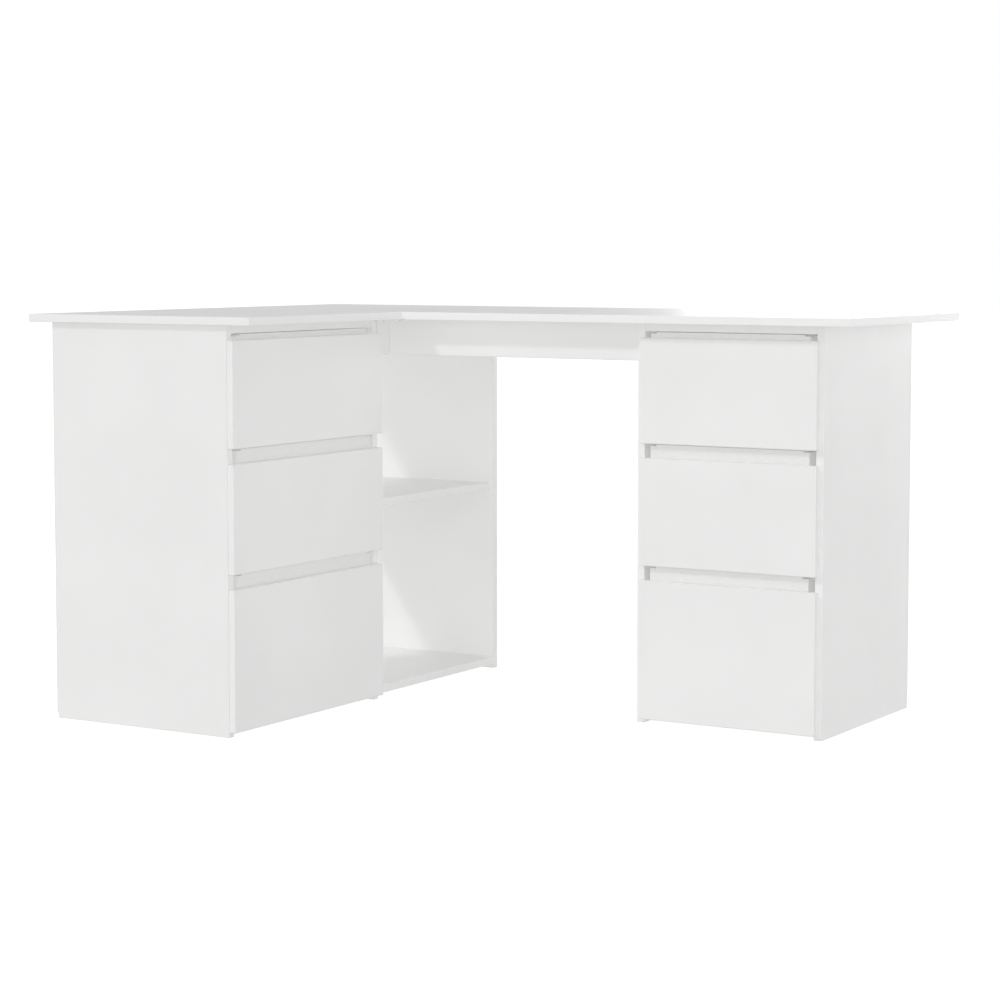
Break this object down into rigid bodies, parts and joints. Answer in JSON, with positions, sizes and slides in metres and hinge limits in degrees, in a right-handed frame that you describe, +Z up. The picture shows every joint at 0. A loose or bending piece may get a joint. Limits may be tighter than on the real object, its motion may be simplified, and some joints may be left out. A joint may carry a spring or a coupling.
{
  "type": "corner desk",
  "caption": "L-shaped corner desk of white melamine board, with drawers and open shelves under the short arm and a drawer pedestal under the long arm.",
  "frame": {"origin": "on the floor, under the middle of the desk's outer box", "axes": "+X along the long top, away from the short arm; +Y towards the wall behind the long top; +Z up"},
  "size_m": [1.45, 1, 0.76],
  "materials": {
    "top": "white melamine-faced chipboard, satin, edges banded in the same white",
    "board": "white melamine-faced chipboard, satin",
    "front": "white melamine-faced board, satin, softly rounded banded edges",
    "drawer_box": "white paper-foiled chipboard, matte",
    "hardboard": "thin hardboard, white lacquered face, matte",
    "runner": "white epoxy-coated steel, satin"
  },
  "bodies": {
    "carcass": {"knee_rail": "board", "pedestal_back_panel": "hardboard", "pedestal_drawer_bay_floor": "board", "pedestal_drawer_bay_stretcher": "board", "pedestal_runner_1_left": "runner", "pedestal_runner_1_right": "runner", "pedestal_runner_2_left": "runner", "pedestal_runner_2_right": "runner", "pedestal_runner_3_left": "runner", "pedestal_runner_3_right": "runner", "pedestal_side_left": "board", "pedestal_side_right": "board", "return_back_panel": "hardboard", "return_drawer_bay_floor": "board", "return_drawer_bay_stretcher": "board", "return_partition": "board", "return_runner_1_left": "runner", "return_runner_1_right": "runner", "return_runner_2_left": "runner", "return_runner_2_right": "runner", "return_runner_3_left": "runner", "return_runner_3_right": "runner", "return_shelf": "board", "return_shelf_bay_floor": "board", "return_shelf_bay_rail": "board", "return_side_front": "board", "return_side_rear": "board", "top_long_board": "top", "top_return_board": "top"},
    "pedestal_drawer_1": {"pedestal_drawer_1_back": "drawer_box", "pedestal_drawer_1_bottom": "hardboard", "pedestal_drawer_1_front": "front", "pedestal_drawer_1_side_left": "drawer_box", "pedestal_drawer_1_side_right": "drawer_box"},
    "pedestal_drawer_2": {"pedestal_drawer_2_back": "drawer_box", "pedestal_drawer_2_bottom": "hardboard", "pedestal_drawer_2_front": "front", "pedestal_drawer_2_side_left": "drawer_box", "pedestal_drawer_2_side_right": "drawer_box"},
    "pedestal_drawer_3": {"pedestal_drawer_3_back": "drawer_box", "pedestal_drawer_3_bottom": "hardboard", "pedestal_drawer_3_front": "front", "pedestal_drawer_3_side_left": "drawer_box", "pedestal_drawer_3_side_right": "drawer_box"},
    "return_drawer_1": {"return_drawer_1_back": "drawer_box", "return_drawer_1_bottom": "hardboard", "return_drawer_1_front": "front", "return_drawer_1_side_left": "drawer_box", "return_drawer_1_side_right": "drawer_box"},
    "return_drawer_2": {"return_drawer_2_back": "drawer_box", "return_drawer_2_bottom": "hardboard", "return_drawer_2_front": "front", "return_drawer_2_side_left": "drawer_box", "return_drawer_2_side_right": "drawer_box"},
    "return_drawer_3": {"return_drawer_3_back": "drawer_box", "return_drawer_3_bottom": "hardboard", "return_drawer_3_front": "front", "return_drawer_3_side_left": "drawer_box", "return_drawer_3_side_right": "drawer_box"}
  },
  "joints": [
    {"name": "return_drawer_1_slide", "type": "slide", "parent": "carcass", "child": "return_drawer_1", "axis": [1, 0, 0], "range_m": [0, 0.26]},
    {"name": "return_drawer_2_slide", "type": "slide", "parent": "carcass", "child": "return_drawer_2", "axis": [1, 0, 0], "range_m": [0, 0.26]},
    {"name": "return_drawer_3_slide", "type": "slide", "parent": "carcass", "child": "return_drawer_3", "axis": [1, 0, 0], "range_m": [0, 0.26]},
    {"name": "pedestal_drawer_1_slide", "type": "slide", "parent": "carcass", "child": "pedestal_drawer_1", "axis": [0, -1, 0], "range_m": [0, 0.26]},
    {"name": "pedestal_drawer_2_slide", "type": "slide", "parent": "carcass", "child": "pedestal_drawer_2", "axis": [0, -1, 0], "range_m": [0, 0.26]},
    {"name": "pedestal_drawer_3_slide", "type": "slide", "parent": "carcass", "child": "pedestal_drawer_3", "axis": [0, -1, 0], "range_m": [0, 0.26]}
  ]
}
